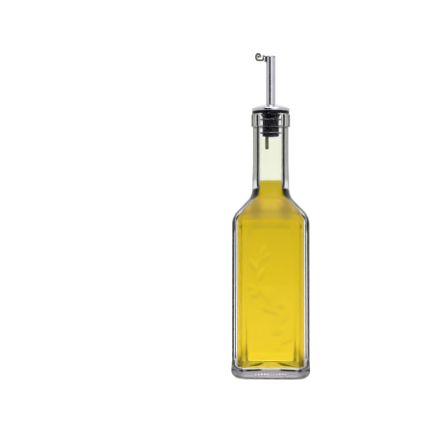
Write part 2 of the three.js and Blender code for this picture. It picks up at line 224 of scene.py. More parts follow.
# Columns round the bottle: fine over the front, whose relief is low and detailed, and at the panels' edges.
PANEL_HALF_WIDTH = 21
PANEL_BOTTOM = 14
PANEL_TOP = 129.9
PANEL_TOP_RADIUS = 11
PANEL_BOTTOM_RADIUS = 5
PANEL_PLANE = 32.4
PANEL_SOFTNESS = 2.5
RELIEF_STEP = 0.62
CORNER_STEP = 1.1
PLAIN_STEP = 3
FACE_REACH = 33
RELIEF_REACH = 24
PLAIN_REACH = 19
ON_FACE_FROM = 31
PANEL_LIP_SHARE = 0.4

corner_places = np.arange(RELIEF_REACH, FACE_REACH, CORNER_STEP)
edge_places = np.arange(PLAIN_REACH, RELIEF_REACH, RELIEF_STEP)
front_places = np.concatenate([np.arange(0, RELIEF_REACH, RELIEF_STEP), corner_places, [FACE_REACH]])
side_places = np.concatenate(
    [np.arange(0, PLAIN_REACH, PLAIN_STEP), edge_places, corner_places, [FACE_REACH]]
)


def face_angles(places, turn):
    """Directions of the columns over one face, from its middle out to both corners."""
    both = np.concatenate([-places[:0:-1], places])[1:]
    return turn + np.arctan(both / FACE_REACH)


columns = np.concatenate(
    [
        face_angles(front_places, -math.pi / 2),
        face_angles(side_places, 0),
        face_angles(side_places, math.pi / 2),
        face_angles(side_places, math.pi),
    ]
)

# The sprig in relief on the front: a bending stem with pointed leaves and three round fruits.
RELIEF_HEIGHT = 0.45
RELIEF_TOP = 112
STEM_FOOT = Vector((7, 26))
STEM_TIP = Vector((-8, 104))
STEM_BEND = 7
STEM_HALF_WIDTH = 0.55
STEM_CROWN_SHARE = 0.4
STEM_FOOT_SHARE = 1.8
STEM_STEPS = 40
LEAF_COUNT = 9
FIRST_LEAF = 0.6
LEAF_LENGTH = 17
LEAF_SHRINK = 0.3
LEAF_HALF_WIDTH = 2.5
LEAF_TAPER = 0.8
LEAF_LEAN = 38
TIP_LEAF_STATION = 0.98
VEIN_DEPTH = 0.35
VEIN_HALF_WIDTH = 0.4
FRUIT_STATIONS = (0.2, 0.44, 0.64)
FRUIT_RADIUS = 3.6
FRUIT_REACH = 6.4


def smooth(value, low, high):
    """0 below low, 1 above high and an even S between them."""
    t = np.clip((value - low) / (high - low), 0, 1)
    return t * t * (3 - 2 * t)


def stem_at(t):
    """A point of the stem's centre line and the line's direction there, in degrees."""
    point = STEM_FOOT.lerp(STEM_TIP, t)
    point.x += STEM_BEND * math.sin(2 * math.pi * t)
    slope = STEM_TIP - STEM_FOOT
    slope.x += STEM_BEND * 2 * math.pi * math.cos(2 * math.pi * t)
    return point, math.degrees(math.atan2(slope.y, slope.x))


def panel_depth(x, z):
    """How far into the sunk panel a point of a face is: 0 outside it, 1 on its floor."""
    radius = np.where(
        z > (PANEL_BOTTOM + PANEL_TOP) / 2, PANEL_TOP_RADIUS, PANEL_BOTTOM_RADIUS
    )
    across = np.abs(x) - PANEL_HALF_WIDTH + radius
    up = np.maximum(z - PANEL_TOP, PANEL_BOTTOM - z) + radius
    outside = np.hypot(np.maximum(across, 0), np.maximum(up, 0))
    distance = outside + np.minimum(np.maximum(across, up), 0) - radius
    return 1 - smooth(distance, -PANEL_SOFTNESS, PANEL_SOFTNESS * PANEL_LIP_SHARE)


def leaf_height(x, z, root, heading, length):
    """Height of one pointed leaf: round across, with a fine groove for its middle vein."""
    a = math.radians(heading)
    u = ((x - root.x) * math.cos(a) + (z - root.y) * math.sin(a)) / length
    v = -(x - root.x) * math.sin(a) + (z - root.y) * math.cos(a)
    inside = (u > 0) & (u < 1)
    width = LEAF_HALF_WIDTH * np.sin(np.pi * np.clip(u, 0.001, 0.999) ** LEAF_TAPER)
    across = np.clip(1 - (v / np.maximum(width, 0.3)) ** 2, 0, 1)
    vein = VEIN_DEPTH * np.exp(-((v / VEIN_HALF_WIDTH) ** 2))
    return np.where(inside, np.sqrt(across) * (1 - vein), 0)


def sprig_height(x, z):
    """Height of the sprig at each point of the front, from 0 to 1."""
    height = np.zeros_like(x)
    previous = stem_at(0)[0]
    for k in range(1, STEM_STEPS + 1):
        point, _ = stem_at(k / STEM_STEPS)
        along = point - previous
        t = ((x - previous.x) * along.x + (z - previous.y) * along.y) / along.length**2
        t = np.clip(t, 0, 1)
        off = np.hypot(x - previous.x - along.x * t, z - previous.y - along.y * t)
        stem = 1 - smooth(off, STEM_HALF_WIDTH * STEM_CROWN_SHARE, STEM_HALF_WIDTH * STEM_FOOT_SHARE)
        height = np.maximum(height, stem)
        previous = point
    for i in range(LEAF_COUNT):
        t = (i + FIRST_LEAF) / LEAF_COUNT
        point, heading = stem_at(t)
        lean = LEAF_LEAN if i % 2 else -LEAF_LEAN
        length = LEAF_LENGTH * (1 - LEAF_SHRINK * t)
        height = np.maximum(height, leaf_height(x, z, point, heading + lean, length))
    point, heading = stem_at(TIP_LEAF_STATION)
    length = LEAF_LENGTH * (1 - LEAF_SHRINK)
    height = np.maximum(height, leaf_height(x, z, point, heading, length))
    for i, t in enumerate(FRUIT_STATIONS):
        point, heading = stem_at(t)
        side = math.radians(heading + (-90 if i % 2 else 90))
        off = np.hypot(
            x - point.x - FRUIT_REACH * math.cos(side),
            z - point.y - FRUIT_REACH * math.sin(side),
        )
        dome = np.sqrt(np.clip(1 - (off / FRUIT_RADIUS) ** 2, 0, 1))
        height = np.maximum(height, dome)
    return height


def row_step(z):
    """Spacing of the outer skin's rings: fine where the front has relief or a panel edge runs across."""
    on_relief = PANEL_BOTTOM - 2 < z < RELIEF_TOP
    on_panel_top = PANEL_TOP - PANEL_TOP_RADIUS < z < PANEL_TOP + 1
    return RELIEF_STEP if on_relief or on_panel_top else PLAIN_STEP


outer_path = divided(
    path(
        [
            (BEARING_HALF, 0),
            (HEEL_HALF, 0, HEEL_RADIUS),
            (HEEL_HALF, HEEL_HEIGHT),
            (BODY_HALF_BOTTOM, HEEL_BLEND_TOP),
            (BODY_HALF_TOP, SHOULDER_BASE, SHOULDER_RADIUS),
            (NECK_BASE_HALF, NECK_BASE, NECK_BASE_RADIUS),
            (NECK_BASE_HALF - NECK_TAPER, OIL_LEVEL),
            (NECK_HALF, NECK_SWELL_TOP),
            (NECK_HALF, FINISH_BASE, FINISH_RADIUS / 2),
            (FINISH_HALF, FINISH_BASE, FINISH_RADIUS / 2),
            (FINISH_HALF, GLASS_HEIGHT, FINISH_RADIUS),
            (BORE_RADIUS + MOUTH_RADIUS, GLASS_HEIGHT),
        ],
        OUTER_ARC_STEP,
    ),
    row_step,
)
inner_path = divided(
    path(
        [
            (BORE_RADIUS + MOUTH_RADIUS * MOUTH_LEAD, GLASS_HEIGHT),
            (BORE_RADIUS, GLASS_HEIGHT, MOUTH_RADIUS),
            (BORE_RADIUS, INNER_NECK_BASE, INNER_NECK_BEND),
            (INNER_HALF_TOP, INNER_SHOULDER_BASE, INNER_BEND_RADIUS),
            (INNER_HALF_BOTTOM, FLOOR_HEIGHT, INNER_HEEL_RADIUS),
            (INNER_HALF_BOTTOM - 2 * INNER_HEEL_RADIUS, FLOOR_HEIGHT),
        ],
        INNER_ARC_STEP,
    ),
    lambda z: INNER_ROW_STEP,
)[1:]

outer_rings = [
    ring(h, z, CORNER_SHARE, columns) for h, z in dome_ring_sizes(BEARING_HALF, 0, PUNT_HEIGHT)
]
outer_rings += [
    ring(p.x, p.y, corner_share(p.x, p.y, CORNER_SHARE, BODY_HALF_TOP, NECK_BASE_HALF), columns)
    for p in outer_path
]


def inner_share(half, z):
    """Corner radius of the inner skin as a share of its half."""
    return corner_share(half, z, INNER_CORNER_SHARE, INNER_HALF_TOP, BORE_RADIUS)


inner_rings = [ring(p.x, p.y, inner_share(p.x, p.y), columns) for p in inner_path]
inner_rings += [
    ring(h, z, INNER_CORNER_SHARE, columns)
    for h, z in reversed(dome_ring_sizes(inner_path[-1].x, FLOOR_HEIGHT, FLOOR_DOME))
]

skin = np.concatenate(outer_rings)
for normal_axis, sign in ((1, -1), (0, 1), (1, 1), (0, -1)):
    out = skin[:, normal_axis] * sign
    x = skin[:, 1 - normal_axis] * (1 if normal_axis else sign)
    z = skin[:, 2]
    on_face = (out > ON_FACE_FROM) & (np.abs(x) < RELIEF_REACH) & (z < SHOULDER_BASE)
    depth = np.where(on_face, panel_depth(x, z), 0)
    moved = out + (PANEL_PLANE - out) * depth
    if (normal_axis, sign) == (1, -1):
        moved = moved + np.where(on_face, sprig_height(x, z) * depth * RELIEF_HEIGHT, 0)
    skin[:, normal_axis] = moved * sign
outer_rings = list(skin.reshape(len(outer_rings), len(columns), 3))

glass = closed_skin(
    "bottle_glass",
    outer_rings + inner_rings,
    PUNT_HEIGHT,
    FLOOR_HEIGHT + FLOOR_DOME,
)
inside = glass.data.attributes.new("inside", "FLOAT", "POINT")
inside_values = np.zeros(len(glass.data.vertices), np.float32)
inside_values[1 + len(outer_rings) * len(columns) :] = 1
inside.data.foreach_set("value", inside_values)

# Glass bottle, the finish of the glass.
# Clear soda-lime glass, with painted grey shade at its edges where it is seen edge-on. Oil wets the inner
# wall up to the level and leaves a pale film above it. More painted shade and reflection are tinted into the
# glass: a brown shade in the oil of the shoulder, grey shade on the corners of the heel and two dark
# reflected arcs in its front.
GLASS_IOR = 1.5
GLASS_TINT = (0.985, 0.99, 0.985)
GLASS_GLARE = (0.12, 0.12, 0.12)
GLASS_GREY = (0.52, 0.5, 0.535)
GLASS_GREY_PER_METRE = 32
# Painted shade: the outer skin turns grey where it is seen edge-on, and the dry neck above the oil darker
# still at its edges.
GLASS_PAINTED_EDGE_SHADE_TINT = (0.30, 0.31, 0.29)
GLASS_PAINTED_EDGE_SHADE_FACINGS = (0.35, 1.0)
NECK_PAINTED_EDGE_SHADE_TINT = (0.20, 0.21, 0.155)
NECK_PAINTED_EDGE_SHADE_FACINGS = (0.2, 0.44)
NECK_PAINTED_EDGE_SHADE_HEIGHTS = (OIL_LEVEL - 3, OIL_LEVEL + 3)
WAVE_SCALE = 70
WAVE_STRENGTH = 0.06
WAVE_DEPTH = 0.6
FILM_TINT = (0.96, 1.0, 0.80)
FILM_TOP_HEIGHTS = (205.1, 207.1)
OIL_TINT = (0.69, 0.50, 0.010)
OIL_LEVEL_HEIGHTS = (OIL_LEVEL - 0.25, OIL_LEVEL + 0.25)
OIL_EDGE_TINT = (0.62, 0.46, 0.02)
OIL_EDGE_HEIGHTS = (OIL_LEVEL - 10, OIL_LEVEL - 1)
OIL_FLOOR_TINT = (0.97, 0.90, 0.40)
OIL_FLOOR_HEIGHTS = (FLOOR_HEIGHT + FLOOR_DOME, FLOOR_HEIGHT + FLOOR_DOME + 0.8)
# Painted shade: a brown shade in the oil of the shoulder, strongest in two patches to either side of the
# middle.
OIL_PAINTED_SHADE_TINT = (0.33, 0.21, 0.012)
OIL_PAINTED_SHADE_HEIGHTS = (126, 146, 146, 162)
OIL_PAINTED_SHADE_STRENGTH = 0.45
OIL_PAINTED_SHADE_PATCH_PLACES = (4, 13, 13, 22)
OIL_PAINTED_SHADE_PATCH_STRENGTH = 0.55
# Painted shade: grey on the corners and sides of the heel, low on the bottle.
HEEL_CORNER_PAINTED_SHADE_TINT = (0.36, 0.36, 0.38)
HEEL_CORNER_PAINTED_SHADE_HEIGHTS = (14, 26)
HEEL_CORNER_PAINTED_SHADE_PLACES = (22, 28)
# Painted reflection: two dark arcs on the front of the heel, where dark things show mirrored.
HEEL_PAINTED_REFLECTION_TINT = (0.001, 0.001, 0.001)
HEEL_PAINTED_REFLECTION_FALL = 0.055
HEEL_PAINTED_REFLECTION_HEIGHTS = (8.75, 9.1, 10.4, 10.75)
HEEL_PAINTED_REFLECTION_PLACES = (6.5, 9, 20, 23)
HEEL_PAINTED_REFLECTION_DEPTHS = (-25, -15)


class Wire:
    """A socket of a node tree. Arithmetic on it adds Math nodes, and node() adds any other node."""

    def __init__(self, tree, socket=None):
        self.tree = tree
        self.socket = socket

    def node(self, kind, settings=None, inputs=None, output=0):
        """A new node with those settings and inputs, as the wire of one of its outputs."""
        made = self.tree.nodes.new(kind)
        for name, value in (settings or {}).items():
            setattr(made, name, value)
        for name, value in (inputs or {}).items():
            if isinstance(value, Wire):
                self.tree.links.new(value.socket, made.inputs[name])
            else:
                made.inputs[name].default_value = value
        return Wire(self.tree, made.outputs[output])

    def math(self, operation, a, b):
        return self.node("ShaderNodeMath", {"operation": operation}, {0: a, 1: b})

    def __add__(self, other):
        return self.math("ADD", self, other)

    def __radd__(self, other):
        return self.math("ADD", other, self)

    def __sub__(self, other):
        return self.math("SUBTRACT", self, other)

    def __rsub__(self, other):
        return self.math("SUBTRACT", other, self)

    def __mul__(self, other):
        return self.math("MULTIPLY", self, other)

    def __rmul__(self, other):
        return self.math("MULTIPLY", other, self)

    def between(self, low, high):
        """0 below low, 1 above high and an even S between them."""
        return self.node(
            "ShaderNodeMapRange",
            {"interpolation_type": "SMOOTHSTEP"},
            {"Value": self, "From Min": low, "From Max": high},
        )

    def band(self, first, full, last, gone):
        """1 from full to last, falling in an even S to 0 at first and at gone."""
        return self.between(first, full) * (1 - self.between(last, gone))

    def place(self):
        """The point on the piece, in metres."""
        return self.node("ShaderNodeTexCoord", output=3)

    def axis(self, number):
        """One coordinate of this place in millimetres: 0 is x, 1 is y and 2 is z."""
        return self.node("ShaderNodeSeparateXYZ", inputs={0: self}, output=number) * (1 / MM)

    def noise(self, scale, detail):
        """Cloudy noise at this place, from 0 to 1."""
        return self.node(
            "ShaderNodeTexNoise", inputs={"Vector": self, "Scale": scale, "Detail": detail}
        )

    def bump(self, strength, depth):
        """The normal of a fine relief whose height is this, with its depth in millimetres."""
        inputs = {"Height": self, "Strength": strength, "Distance": depth * MM}
        return self.node("ShaderNodeBump", inputs=inputs)

    def pick(self, off, on):
        """The colour off where this is 0, and on where it is 1."""
        colours = [c if isinstance(c, Wire) else (*c, 1) for c in (off, on)]
        return self.node(
            "ShaderNodeMix",
            {"data_type": "RGBA"},
            {0: self, 6: colours[0], 7: colours[1]},
            2,
        )


def new_material(name):
    """A new material, its Principled shader and a wire to start expressions from."""
    material = bpy.data.materials.new(name)
    material.use_nodes = True
    shader = material.node_tree.nodes["Principled BSDF"]
    return material, shader, Wire(material.node_tree)


def set_sockets(shader, values):
    """Sets or links the named sockets of a shader."""
    for name, value in values.items():
        if isinstance(value, Wire):
            value.tree.links.new(value.socket, shader.inputs[name])
        else:
            shader.inputs[name].default_value = (*value, 1) if isinstance(value, tuple) else value


def absorb(material, colour, per_metre):
    """Gives a clear material its colour through its thickness."""
    tree = material.node_tree
    volume = tree.nodes.new("ShaderNodeVolumeAbsorption")
    volume.inputs["Color"].default_value = (*colour, 1)
    volume.inputs["Density"].default_value = per_metre
    tree.links.new(volume.outputs[0], tree.nodes["Material Output"].inputs["Volume"])


glass_finish, shader, wire = new_material("clear_glass")
place = wire.place()
across, forward, height = (place.axis(number) for number in range(3))
beside = across.math("ABSOLUTE", across, 0.0)

deep = 1 - height.between(*OIL_EDGE_HEIGHTS)
oil_colour = deep.pick(OIL_EDGE_TINT, OIL_TINT)
# Painted shade in the shoulder's oil, strongest in patches to either side of the middle.
painted_shade_patch = beside.band(*OIL_PAINTED_SHADE_PATCH_PLACES)
shade = height.band(*OIL_PAINTED_SHADE_HEIGHTS) * (OIL_PAINTED_SHADE_STRENGTH + OIL_PAINTED_SHADE_PATCH_STRENGTH * painted_shade_patch)
oil_colour = shade.pick(oil_colour, OIL_PAINTED_SHADE_TINT)
oil_colour = height.between(*OIL_FLOOR_HEIGHTS).pick(OIL_FLOOR_TINT, oil_colour)
wetted = 1 - height.between(*OIL_LEVEL_HEIGHTS)
dry_colour = height.between(*FILM_TOP_HEIGHTS).pick(FILM_TINT, GLASS_TINT)
inner_colour = wetted.pick(dry_colour, oil_colour)

facing = wire.node("ShaderNodeLayerWeight", inputs={"Blend": 0.5}, output=1)
# Painted shade: grey where the skin is seen edge-on, darker on the edges of the dry neck.
outer_colour = facing.between(*GLASS_PAINTED_EDGE_SHADE_FACINGS).pick(GLASS_TINT, GLASS_PAINTED_EDGE_SHADE_TINT)
neck_painted_edge_shade = facing.between(*NECK_PAINTED_EDGE_SHADE_FACINGS) * height.between(*NECK_PAINTED_EDGE_SHADE_HEIGHTS)
outer_colour = neck_painted_edge_shade.pick(outer_colour, NECK_PAINTED_EDGE_SHADE_TINT)
# Painted shade: grey on the heel's corners and sides.
heel_corner_painted_shade = (1 - height.between(*HEEL_CORNER_PAINTED_SHADE_HEIGHTS)) * beside.between(*HEEL_CORNER_PAINTED_SHADE_PLACES)
outer_colour = heel_corner_painted_shade.pick(outer_colour, HEEL_CORNER_PAINTED_SHADE_TINT)
# Painted reflection: two dark arcs on the heel's front.
heel_painted_reflection = (height + HEEL_PAINTED_REFLECTION_FALL * beside).band(*HEEL_PAINTED_REFLECTION_HEIGHTS)
heel_painted_reflection = heel_painted_reflection * beside.band(*HEEL_PAINTED_REFLECTION_PLACES) * (1 - forward.between(*HEEL_PAINTED_REFLECTION_DEPTHS))
outer_colour = heel_painted_reflection.pick(outer_colour, HEEL_PAINTED_REFLECTION_TINT)

is_inside = wire.node("ShaderNodeAttribute", {"attribute_name": "inside"}, output=2)
set_sockets(
    shader,
    {
        "Base Color": is_inside.pick(outer_colour, inner_colour),
        "Roughness": 0.0,
        "IOR": GLASS_IOR,
        "Transmission Weight": 1.0,
        "Specular Tint": GLASS_GLARE,
        "Normal": place.noise(WAVE_SCALE, 1).bump(WAVE_STRENGTH, WAVE_DEPTH),
    },
)
absorb(glass_finish, GLASS_GREY, GLASS_GREY_PER_METRE)
glass.data.materials.append(glass_finish)
glass.visible_shadow = False
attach(glass, "bottle")
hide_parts("glass_bottle")

# Oil.
# Golden oil that fills the body and the lower neck. It reaches just into the wall, so it clings to the
# glass, and its level curves up at the wall.
OIL_IN_WALL = 0.08
MENISCUS_RISE = 0.5
MENISCUS_REACH = 2.2
MENISCUS_STEPS = (0, 0.15, 0.35, 0.7, 1.2, 2.2, 4, 7)
OIL_SURFACE_TINT = (0.78, 0.66, 0.10)
OIL_BODY_COLOUR = (0.97, 0.90, 0.1)
OIL_BODY_PER_METRE = 3

oil_columns = np.concatenate([face_angles(side_places, t * math.pi / 2) for t in range(4)])
wet_path = [p for p in reversed(inner_path) if p.y < OIL_LEVEL]
oil_rings = [
    ring(h, z - OIL_IN_WALL, INNER_CORNER_SHARE, oil_columns)
    for h, z in dome_ring_sizes(wet_path[0].x, FLOOR_HEIGHT, FLOOR_DOME)
]
for p in wet_path:
    low = p.y < FLOOR_HEIGHT + OIL_IN_WALL
    oil_rings.append(
        ring(
            p.x + OIL_IN_WALL,
            p.y - (OIL_IN_WALL if low else 0),
            inner_share(p.x, p.y),
            oil_columns,
        )
    )
surface_start = 1 + len(oil_rings) * len(oil_columns)
for reach in MENISCUS_STEPS:
    rise = MENISCUS_RISE * max(0, 1 - reach / MENISCUS_REACH) ** 2
    oil_rings.append(
        ring(BORE_RADIUS + OIL_IN_WALL - reach, OIL_LEVEL + rise, 1, oil_columns)
    )
oil = closed_skin("oil", oil_rings, FLOOR_HEIGHT + FLOOR_DOME - OIL_IN_WALL, OIL_LEVEL)
on_top = oil.data.attributes.new("on_top", "FLOAT", "POINT")
top_values = np.zeros(len(oil.data.vertices), np.float32)
top_values[surface_start + 2 * len(oil_columns) :] = 1
on_top.data.foreach_set("value", top_values)

oil_finish, shader, wire = new_material("golden_oil")
is_top = wire.node("ShaderNodeAttribute", {"attribute_name": "on_top"}, output=2)
set_sockets(
    shader,
    {
        "Base Color": is_top.pick((1, 1, 1), OIL_SURFACE_TINT),
        "Roughness": 0.0,
        "IOR": 1.0,
        "Transmission Weight": 1.0,
    },
)
absorb(oil_finish, OIL_BODY_COLOUR, OIL_BODY_PER_METRE)
oil.data.materials.append(oil_finish)
oil.visible_shadow = False
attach(oil, "bottle")
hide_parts("oil_fill")

# Stopper.
# A moulded black plug that is pushed into the bore. Thin ribs round it press on the glass, and a flare
# under its flange seats on the mouth.
STOPPER_BOTTOM = 207.1
STOPPER_CORE_RADIUS = 7.15
STOPPER_CAVITY_RADIUS = 5
STOPPER_CAVITY_TOP = 212
FIN_RADIUS = 9.95
FIN_FIRST = 210.17
FIN_SPACING = 5.8
FIN_COUNT = 3
FIN_THICKNESS = 0.84
FIN_TAPER = 0.9
FIN_ROOT = 0.3
STOPPER_ROUND = 0.6
FLARE_ROUND = 2.5
FLANGE_ROUND = 0.5
FLANGE_TOP_ROUND = 0.3
HEAD_SHARES = (1, 0.8, 0.6, 0.4)
FLARE_BASE = 223.5
FLARE_RADIUS = 9.6
FLANGE_RADIUS = 16.1
FLANGE_BOTTOM = 226.8
FLANGE_TOP = 229
CAP_RADIUS = 16.6
CAP_BOTTOM = 229.2
CAP_EDGE = 231.5
CAP_CROWN = 235.4
CAP_SHEET = 0.8
CAP_BEND_SHARE = 0.93
TUBE_RADIUS = 4.13
PIECE_GAP = 0.15
SIDES = 160


def turned(name, profile, sides=SIDES, axis="Z", centre=(0, 0, 0)):
    """A solid turned round an axis from a closed profile of (radius, height), clear of the axis."""
    count = len(profile)
    angles = np.arange(sides) * 2 * math.pi / sides
    radii = np.array([p[0] for p in profile])
    x = np.outer(np.cos(angles), radii).ravel()
    y = np.outer(np.sin(angles), radii).ravel()
    z = np.tile([p[1] for p in profile], sides)
    points = {"Z": (x, y, z), "Y": (x, z, -y), "X": (z, y, -x)}[axis]
    faces = []
    for i in range(sides):
        j = (i + 1) % sides
        for k in range(count):
            m = (k + 1) % count
            faces.append((i * count + k, j * count + k, j * count + m, i * count + m))
    return solid(name, (np.stack(points, 1) + centre) * MM, faces)


def outline(corners, arc_step=15):
    """The closed outline through corners of (radius, height, fillet radius); the first corner is plain."""
    return [tuple(p) for p in path(corners + corners[:1], arc_step)[:-1]]


def dome_height(radius, crown):
    """Height of the cap's dome, or of one like it with a lower crown, at a radius."""
    return crown - (CAP_CROWN - CAP_EDGE) * (radius / CAP_RADIUS) ** 2


bore = TUBE_RADIUS + PIECE_GAP
head_radius = CAP_RADIUS * CAP_BEND_SHARE - PIECE_GAP
head_crown = CAP_CROWN - CAP_SHEET - PIECE_GAP
stopper = turned(
    "stopper_body",
    outline(
        [
            (bore, STOPPER_CAVITY_TOP),
            (STOPPER_CAVITY_RADIUS, STOPPER_CAVITY_TOP),
            (STOPPER_CAVITY_RADIUS, STOPPER_BOTTOM),
            (STOPPER_CORE_RADIUS, STOPPER_BOTTOM, STOPPER_ROUND),
            (STOPPER_CORE_RADIUS, FLARE_BASE, FLARE_ROUND),
            (FLARE_RADIUS, FLANGE_BOTTOM, FLANGE_ROUND),
            (FLANGE_RADIUS, FLANGE_BOTTOM, FLANGE_ROUND),
            (FLANGE_RADIUS, FLANGE_TOP, FLANGE_TOP_ROUND),
            (head_radius, FLANGE_TOP),
            *((head_radius * t, dome_height(head_radius * t, head_crown)) for t in HEAD_SHARES),
            (bore, dome_height(bore, head_crown)),
        ]
    ),
)


def modified(name, tree, values):
    """The plain mesh that a Geometry Nodes tree makes with those values of its named inputs."""
    carrier = bpy.data.objects.new(name, bpy.data.meshes.new(name))
    bpy.context.scene.collection.objects.link(carrier)
    modifier = carrier.modifiers.new("nodes", "NODES")
    modifier.node_group = tree
    for item in tree.interface.items_tree:
        if item.in_out == "INPUT" and item.name in values:
            modifier[item.identifier] = values[item.name]
    bpy.context.view_layer.update()
    evaluated = carrier.evaluated_get(bpy.context.evaluated_depsgraph_get())
    mesh = bpy.data.meshes.new_from_object(evaluated)
    carrier.modifiers.remove(modifier)
    carrier.data = mesh
    mesh.name = name
    mesh.shade_smooth()
    mesh.set_sharp_from_angle(angle=math.radians(SHARP_EDGE))
    return carrier


def new_tree(name, inputs):
    """A Geometry Nodes tree with named number inputs, and wires to its start and to each input."""
    tree = bpy.data.node_groups.new(name, "GeometryNodeTree")
    for label, kind in inputs.items():
        tree.interface.new_socket(label, in_out="INPUT", socket_type=kind)
    tree.interface.new_socket("Geometry", in_out="OUTPUT", socket_type="NodeSocketGeometry")
    start = tree.nodes.new("NodeGroupInput")
    return tree, Wire(tree), {label: Wire(tree, start.outputs[label]) for label in inputs}


def finish_tree(made, material):
    """Ends a tree in Realize Instances and Set Material."""
    real = made.node("GeometryNodeRealizeInstances", inputs={0: made})
    done = made.node("GeometryNodeSetMaterial", inputs={0: real, "Material": material})
    end = made.tree.nodes.new("NodeGroupOutput")
    made.tree.links.new(done.socket, end.inputs[0])


RUBBER_TINTS = ((0.001, 0.001, 0.002), (0.003, 0.0025, 0.006))
RUBBER_SMEAR_SCALE = 130
RUBBER_GRAIN_SCALE = 900
RUBBER_GRAIN_STRENGTH = 0.15
RUBBER_GRAIN_DEPTH = 0.1

black_finish, shader, wire = new_material("black_rubber")
smear = wire.place().noise(RUBBER_SMEAR_SCALE, 2)
grain = wire.place().noise(RUBBER_GRAIN_SCALE, 3)
set_sockets(
    shader,
    {
        "Base Color": smear.pick(*RUBBER_TINTS),
        "Roughness": 0.18 + 0.14 * smear,
        "Specular IOR Level": 0.08,
        "Normal": grain.bump(RUBBER_GRAIN_STRENGTH, RUBBER_GRAIN_DEPTH),
    },
)
stopper.data.materials.append(black_finish)
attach(stopper, "bottle")
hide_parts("stopper")

# Painted glints: the ribs are tinted lighter and lilac in patches, standing for highlights along their edges.
RIB_PAINTED_GLINT_TINTS = ((0.02, 0.019, 0.03), (0.20, 0.19, 0.25))
RIB_GLINT_PATCH_SCALE = 260
RIB_GLINT_PATCH_RANGE = (0.35, 0.7)

# Painted glints on the ribs, lighter lilac in patches.
rib_finish, shader, wire = new_material("rubber_ribs_painted_glint")
glint_patches = wire.place().noise(RIB_GLINT_PATCH_SCALE, 3)
set_sockets(
    shader,
    {
        "Base Color": glint_patches.between(*RIB_GLINT_PATCH_RANGE).pick(*RIB_PAINTED_GLINT_TINTS),
        "Roughness": 0.30 + 0.2 * glint_patches,
        "Specular IOR Level": 0.4,
    },
)

tree, wire, size = new_tree(
    "stopper_ribs",
    {
        "Count": "NodeSocketInt",
        "First height": "NodeSocketFloat",
        "Spacing": "NodeSocketFloat",
        "Tip radius": "NodeSocketFloat",
        "Inner radius": "NodeSocketFloat",
        "Taper": "NodeSocketFloat",
        "Thickness": "NodeSocketFloat",
    },
)
start = wire.node("ShaderNodeCombineXYZ", inputs={2: size["First height"]})
stride = wire.node("ShaderNodeCombineXYZ", inputs={2: size["Spacing"]})
stations = wire.node(
    "GeometryNodeMeshLine", inputs={"Count": size["Count"], "Start Location": start, "Offset": stride}
)
width = size["Tip radius"] - size["Inner radius"]
circle = wire.node(
    "GeometryNodeCurvePrimitiveCircle",
    inputs={
        "Resolution": SIDES,
        "Radius": (size["Tip radius"] + size["Inner radius"] - size["Taper"]) * 0.5,
    },
)
profile = wire.node(
    "GeometryNodeCurvePrimitiveQuadrilateral",
    {"mode": "TRAPEZOID"},
    {
        "Height": size["Thickness"],
        "Bottom Width": width - size["Taper"],
        "Top Width": width,
        "Offset": size["Taper"] * 0.5,
    },
)
rib = wire.node("GeometryNodeCurveToMesh", inputs={"Curve": circle, "Profile Curve": profile})
ribs_wire = wire.node("GeometryNodeInstanceOnPoints", inputs={"Points": stations, "Instance": rib})
finish_tree(ribs_wire, rib_finish)
ribs = modified(
    "stopper_ribs",
    tree,
    {
        "Count": FIN_COUNT,
        "First height": FIN_FIRST * MM,
        "Spacing": FIN_SPACING * MM,
        "Tip radius": FIN_RADIUS * MM,
        "Inner radius": (STOPPER_CORE_RADIUS - FIN_ROOT) * MM,
        "Taper": FIN_TAPER * MM,
        "Thickness": FIN_THICKNESS * MM,
    },
)
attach(ribs, "bottle")

# Stipples on the heel.
# A row of small frosted points is moulded low on each side of the bottle, which keeps it off the others on
# the line. The front row shows as white dots in the grey of the base.
STIPPLE_COUNT = 11
STIPPLE_SPACING = 2.5
STIPPLE_RADIUS = 0.65
STIPPLE_REACH = 33.0
STIPPLE_HEIGHT = 5.6
FROST_TINTS = ((0.62, 0.52, 0.60), (0.98, 0.95, 0.98))
FROST_SCALE = 260
FROST_RANGE = (0.4, 0.6)

stipple_finish, shader, wire = new_material("frosted_glass")
frost = wire.place().noise(FROST_SCALE, 2)
set_sockets(
    shader,
    {
        "Base Color": frost.between(*FROST_RANGE).pick(*FROST_TINTS),
        "Roughness": 0.3 + 0.3 * frost,
    },
)
tree, wire, size = new_tree(
    "heel_stipples",
    {
        "Count": "NodeSocketInt",
        "First place": "NodeSocketFloat",
        "Spacing": "NodeSocketFloat",
        "Reach": "NodeSocketFloat",
        "Height": "NodeSocketFloat",
        "Point radius": "NodeSocketFloat",
    },
)
start = wire.node(
    "ShaderNodeCombineXYZ", inputs={0: size["First place"], 1: size["Reach"], 2: size["Height"]}
)
stride = wire.node("ShaderNodeCombineXYZ", inputs={0: size["Spacing"]})
row = wire.node(
    "GeometryNodeMeshLine", inputs={"Count": size["Count"], "Start Location": start, "Offset": stride}
)
point = wire.node("GeometryNodeMeshIcoSphere", inputs={"Radius": size["Point radius"], "Subdivisions": 2})
row = wire.node("GeometryNodeInstanceOnPoints", inputs={"Points": row, "Instance": point})
turn = wire.node("GeometryNodeInputIndex") * (math.pi / 2)
turn = wire.node("ShaderNodeCombineXYZ", inputs={2: turn})
sides = wire.node("GeometryNodeMeshLine", inputs={"Count": 4, "Offset": (0, 0, 0)})
sides = wire.node(
    "GeometryNodeInstanceOnPoints", inputs={"Points": sides, "Instance": row, "Rotation": turn}
)
finish_tree(sides, stipple_finish)
